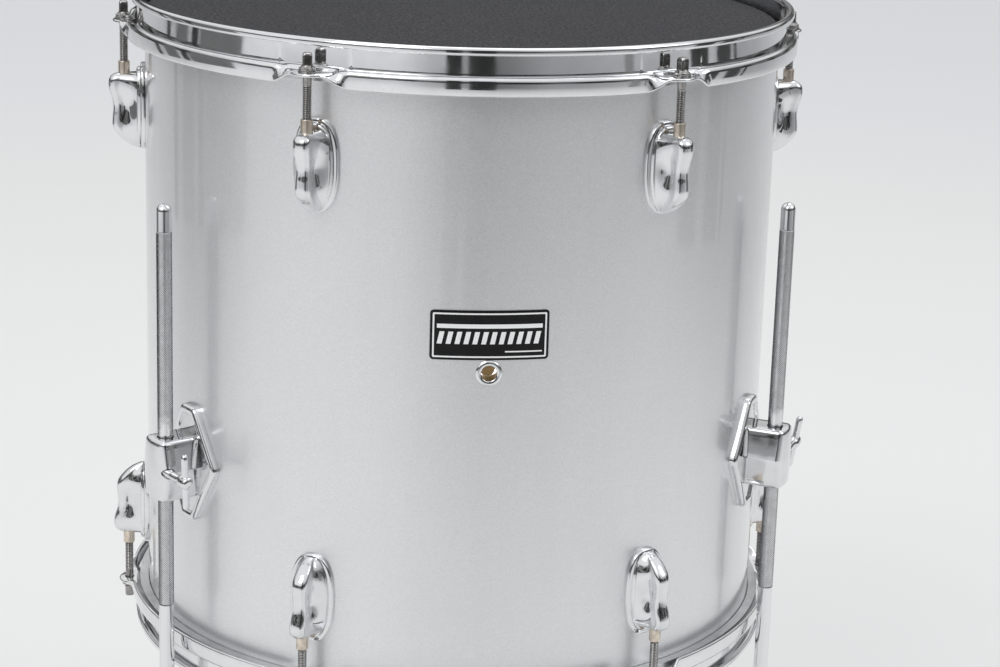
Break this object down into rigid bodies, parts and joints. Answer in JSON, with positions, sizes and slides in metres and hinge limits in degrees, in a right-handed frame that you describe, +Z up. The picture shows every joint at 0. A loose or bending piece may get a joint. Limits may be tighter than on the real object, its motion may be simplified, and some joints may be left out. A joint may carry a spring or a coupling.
{
  "type": "floor tom drum",
  "caption": "Floor tom: a wrapped round wooden shell with two tuned heads under chromed hoops, standing on adjustable legs held by wing screws.",
  "frame": {"origin": "centre of the batter head's playing surface, on the drum's axis", "axes": "+Z up along the drum's axis; -Y from the axis to the badge; +X to the right of someone who faces the badge"},
  "size_m": [0.4741, 0.4864, 0.6305],
  "materials": {
    "wood_ply": "satin lacquer over tan plies",
    "silver_wrap": "gloss film with fine silver flake",
    "dark_head": "matte coated film",
    "clear_head": "smooth translucent film",
    "aluminium_ring": "plain mill finish",
    "chrome_hoop": "polished chrome plate",
    "chrome_cast": "chrome plate over die casting",
    "chrome_leg": "chrome plate over a diamond knurl",
    "steel_rod": "dulled nickel plate",
    "nickel_brass": "pale nickel over brass",
    "zinc_steel": "zinc plate",
    "badge_black": "gloss black foil with silver lines",
    "black_rubber": "matte moulded rubber"
  },
  "bodies": {
    "drum": {"shell_ply": "wood_ply", "shell_wrap": "silver_wrap", "batter_head": "dark_head", "batter_flesh_hoop": "aluminium_ring", "batter_hoop": "chrome_hoop", "resonant_head": "clear_head", "resonant_flesh_hoop": "aluminium_ring", "resonant_hoop": "chrome_hoop", "badge": "badge_black", "vent_grommet": "chrome_cast", "vent_lock_ring": "chrome_cast", "lug_top_1": "chrome_cast", "lug_top_2": "chrome_cast", "lug_top_3": "chrome_cast", "lug_top_4": "chrome_cast", "lug_top_5": "chrome_cast", "lug_top_6": "chrome_cast", "lug_bottom_1": "chrome_cast", "lug_bottom_2": "chrome_cast", "lug_bottom_3": "chrome_cast", "lug_bottom_4": "chrome_cast", "lug_bottom_5": "chrome_cast", "lug_bottom_6": "chrome_cast", "swivel_nuts": "nickel_brass", "rod_washers": "steel_rod", "lug_screws": "zinc_steel", "lug_screw_washers": "zinc_steel", "bracket_1": "chrome_cast", "bracket_2": "chrome_cast", "bracket_3": "chrome_cast", "bracket_screws": "zinc_steel", "bracket_backing_plates": "zinc_steel"},
    "rod_top_1": {"rod_top_1": "steel_rod"},
    "rod_bottom_1": {"rod_bottom_1": "steel_rod"},
    "rod_top_2": {"rod_top_2": "steel_rod"},
    "rod_bottom_2": {"rod_bottom_2": "steel_rod"},
    "rod_top_3": {"rod_top_3": "steel_rod"},
    "rod_bottom_3": {"rod_bottom_3": "steel_rod"},
    "rod_top_4": {"rod_top_4": "steel_rod"},
    "rod_bottom_4": {"rod_bottom_4": "steel_rod"},
    "rod_top_5": {"rod_top_5": "steel_rod"},
    "rod_bottom_5": {"rod_bottom_5": "steel_rod"},
    "rod_top_6": {"rod_top_6": "steel_rod"},
    "rod_bottom_6": {"rod_bottom_6": "steel_rod"},
    "leg_1": {"leg_1": "chrome_leg", "foot_1": "black_rubber"},
    "wing_screw_1": {"wing_screw_1": "chrome_cast"},
    "leg_2": {"leg_2": "chrome_leg", "foot_2": "black_rubber"},
    "wing_screw_2": {"wing_screw_2": "chrome_cast"},
    "leg_3": {"leg_3": "chrome_leg", "foot_3": "black_rubber"},
    "wing_screw_3": {"wing_screw_3": "chrome_cast"}
  },
  "joints": [
    {"name": "turn_rod_top_1", "type": "hinge", "parent": "drum", "child": "rod_top_1", "pos_m": [-0.10812, -0.18728, -0.0087], "axis": [0, 0, 1], "continuous": true},
    {"name": "turn_rod_bottom_1", "type": "hinge", "parent": "drum", "child": "rod_bottom_1", "pos_m": [-0.10812, -0.18728, -0.3874], "axis": [0, 0, -1], "continuous": true},
    {"name": "turn_rod_top_2", "type": "hinge", "parent": "drum", "child": "rod_top_2", "pos_m": [0.10812, -0.18728, -0.0087], "axis": [0, 0, 1], "continuous": true},
    {"name": "turn_rod_bottom_2", "type": "hinge", "parent": "drum", "child": "rod_bottom_2", "pos_m": [0.10812, -0.18728, -0.3874], "axis": [0, 0, -1], "continuous": true},
    {"name": "turn_rod_top_3", "type": "hinge", "parent": "drum", "child": "rod_top_3", "pos_m": [0.21625, 0, -0.0087], "axis": [0, 0, 1], "continuous": true},
    {"name": "turn_rod_bottom_3", "type": "hinge", "parent": "drum", "child": "rod_bottom_3", "pos_m": [0.21625, 0, -0.3874], "axis": [0, 0, -1], "continuous": true},
    {"name": "turn_rod_top_4", "type": "hinge", "parent": "drum", "child": "rod_top_4", "pos_m": [0.10812, 0.18728, -0.0087], "axis": [0, 0, 1], "continuous": true},
    {"name": "turn_rod_bottom_4", "type": "hinge", "parent": "drum", "child": "rod_bottom_4", "pos_m": [0.10812, 0.18728, -0.3874], "axis": [0, 0, -1], "continuous": true},
    {"name": "turn_rod_top_5", "type": "hinge", "parent": "drum", "child": "rod_top_5", "pos_m": [-0.10812, 0.18728, -0.0087], "axis": [0, 0, 1], "continuous": true},
    {"name": "turn_rod_bottom_5", "type": "hinge", "parent": "drum", "child": "rod_bottom_5", "pos_m": [-0.10812, 0.18728, -0.3874], "axis": [0, 0, -1], "continuous": true},
    {"name": "turn_rod_top_6", "type": "hinge", "parent": "drum", "child": "rod_top_6", "pos_m": [-0.21625, 0, -0.0087], "axis": [0, 0, 1], "continuous": true},
    {"name": "turn_rod_bottom_6", "type": "hinge", "parent": "drum", "child": "rod_bottom_6", "pos_m": [-0.21625, 0, -0.3874], "axis": [0, 0, -1], "continuous": true},
    {"name": "slide_leg_1", "type": "slide", "parent": "drum", "child": "leg_1", "axis": [0, 0, 1], "range_m": [-0.12, 0.06]},
    {"name": "turn_wing_screw_1", "type": "hinge", "parent": "drum", "child": "wing_screw_1", "pos_m": [-0.17768, -0.14641, -0.268], "axis": [0.5225, -0.8526, 0], "range_deg": [0, 720]},
    {"name": "slide_leg_2", "type": "slide", "parent": "drum", "child": "leg_2", "axis": [0, 0, 1], "range_m": [-0.12, 0.06]},
    {"name": "turn_wing_screw_2", "type": "hinge", "parent": "drum", "child": "wing_screw_2", "pos_m": [0.21564, -0.08067, -0.268], "axis": [0.4772, 0.8788, 0], "range_deg": [0, 720]},
    {"name": "slide_leg_3", "type": "slide", "parent": "drum", "child": "leg_3", "axis": [0, 0, 1], "range_m": [-0.12, 0.06]},
    {"name": "turn_wing_screw_3", "type": "hinge", "parent": "drum", "child": "wing_screw_3", "pos_m": [-0.03796, 0.22708, -0.268], "axis": [-0.9997, -0.0262, 0], "range_deg": [0, 720]}
  ]
}
